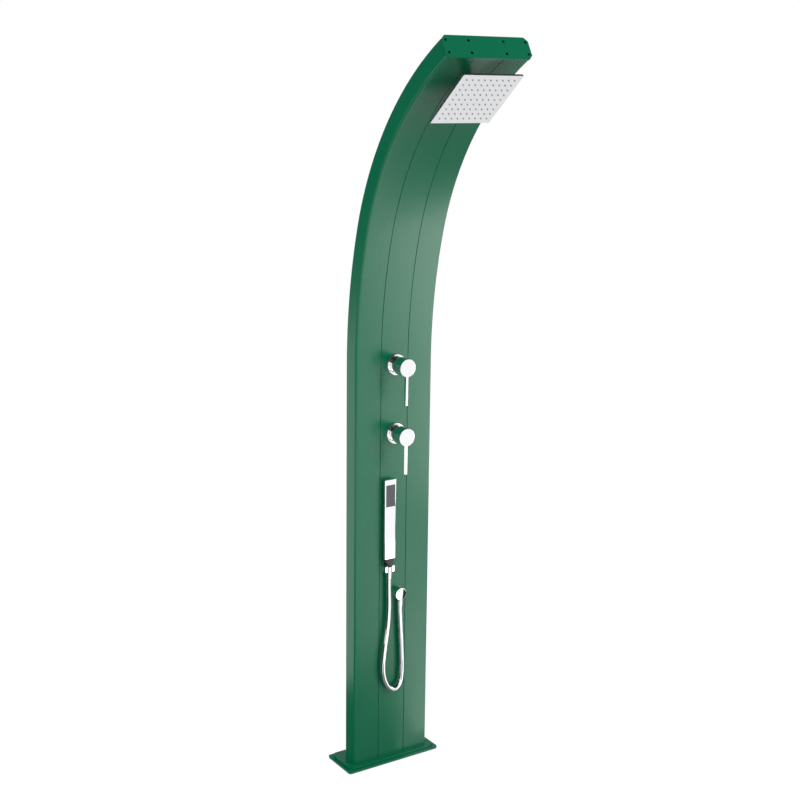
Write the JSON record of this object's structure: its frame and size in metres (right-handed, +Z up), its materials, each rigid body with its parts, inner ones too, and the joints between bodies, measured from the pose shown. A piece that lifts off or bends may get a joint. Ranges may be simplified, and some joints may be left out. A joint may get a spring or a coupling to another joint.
{
  "type": "outdoor shower post",
  "caption": "Tall flat metal post that curls forward at the top, with a square rain head, two pin-lever controls, a stick handset on a hose and a stepped floor plate.",
  "frame": {"origin": "centre of the floor plate, on its underside", "axes": "+X to the right seen from the front, front towards -Y, +Z up"},
  "size_m": [0.345, 0.588, 2.3022],
  "materials": {
    "green": "semi-gloss green powder coat",
    "chrome": "polished chrome",
    "steel": "zinc-plated",
    "brass": "machined brass",
    "copper": "drawn copper tube",
    "rubber": "grey silicone rubber",
    "black": "black plastic",
    "screw": "blackened steel",
    "hose": "smooth metallic hose"
  },
  "bodies": {
    "post": {"floor_plate": "green", "foot_plate": "green", "left_side_profile": "green", "right_side_profile": "green", "front_panel": "green", "rear_panel": "green", "end_cap": "green", "left_upright": "steel", "right_upright": "steel", "upright_screws": "steel", "holder_screw": "steel", "end_cap_screws": "screw", "mixer_body": "brass", "mixer_nut": "brass", "diverter_body": "brass", "diverter_nut": "brass", "cold_inlet": "brass", "hot_inlet": "brass", "outlet_elbow": "brass", "head_elbow": "brass", "mixer_cartridge": "black", "diverter_cartridge": "black", "mixer_cup": "chrome", "diverter_cup": "chrome", "hose_outlet": "chrome", "outlet_hose_nut": "chrome", "handset_holder": "chrome", "head_arm": "chrome", "head_collar": "chrome", "cold_pipe": "copper", "hot_pipe": "copper", "mixed_pipe": "copper", "riser_pipe": "copper", "feed_pipe": "copper", "outlet_gasket": "rubber", "head_gasket": "rubber", "hose": "hose"},
    "mixer_turret": {"mixer_turret": "chrome"},
    "mixer_handle": {"mixer_knob": "chrome", "mixer_lever": "chrome", "mixer_rocker": "steel"},
    "diverter_handle": {"diverter_knob": "chrome", "diverter_lever": "chrome", "diverter_spindle": "brass"},
    "handset": {"handset_body": "chrome", "handset_spray_face": "rubber", "handset_neck": "black", "handset_hose_nut": "chrome"},
    "ball_seat": {"head_seat_ring": "black"},
    "rain_head": {"head_ball": "chrome", "head_back_shell": "chrome", "head_nozzle_mat": "rubber", "head_face_plate": "chrome"}
  },
  "joints": [
    {"name": "mixer_turn", "type": "hinge", "parent": "post", "child": "mixer_turret", "pos_m": [0.004, -0.075, 1.331], "axis": [0, -1, 0], "range_deg": [-45, 45]},
    {"name": "mixer_lift", "type": "hinge", "parent": "mixer_turret", "child": "mixer_handle", "pos_m": [0.004, -0.0804, 1.331], "axis": [-1, 0, 0], "range_deg": [0, 20]},
    {"name": "diverter_turn", "type": "hinge", "parent": "post", "child": "diverter_handle", "pos_m": [0.004, -0.075, 1.112], "axis": [0, -1, 0], "range_deg": [-60, 60]},
    {"name": "handset_lift", "type": "slide", "parent": "post", "child": "handset", "axis": [0, 0, 1], "range_m": [0, 0.04], "deforming": ["hose"]},
    {"name": "head_spin", "type": "hinge", "parent": "post", "child": "ball_seat", "pos_m": [0, -0.41926, 2.1616], "axis": [0, -0.6046, -0.7965], "continuous": true},
    {"name": "head_tilt", "type": "hinge", "parent": "ball_seat", "child": "rain_head", "pos_m": [0, -0.41926, 2.1616], "axis": [1, 0, 0], "range_deg": [-12, 12]}
  ]
}
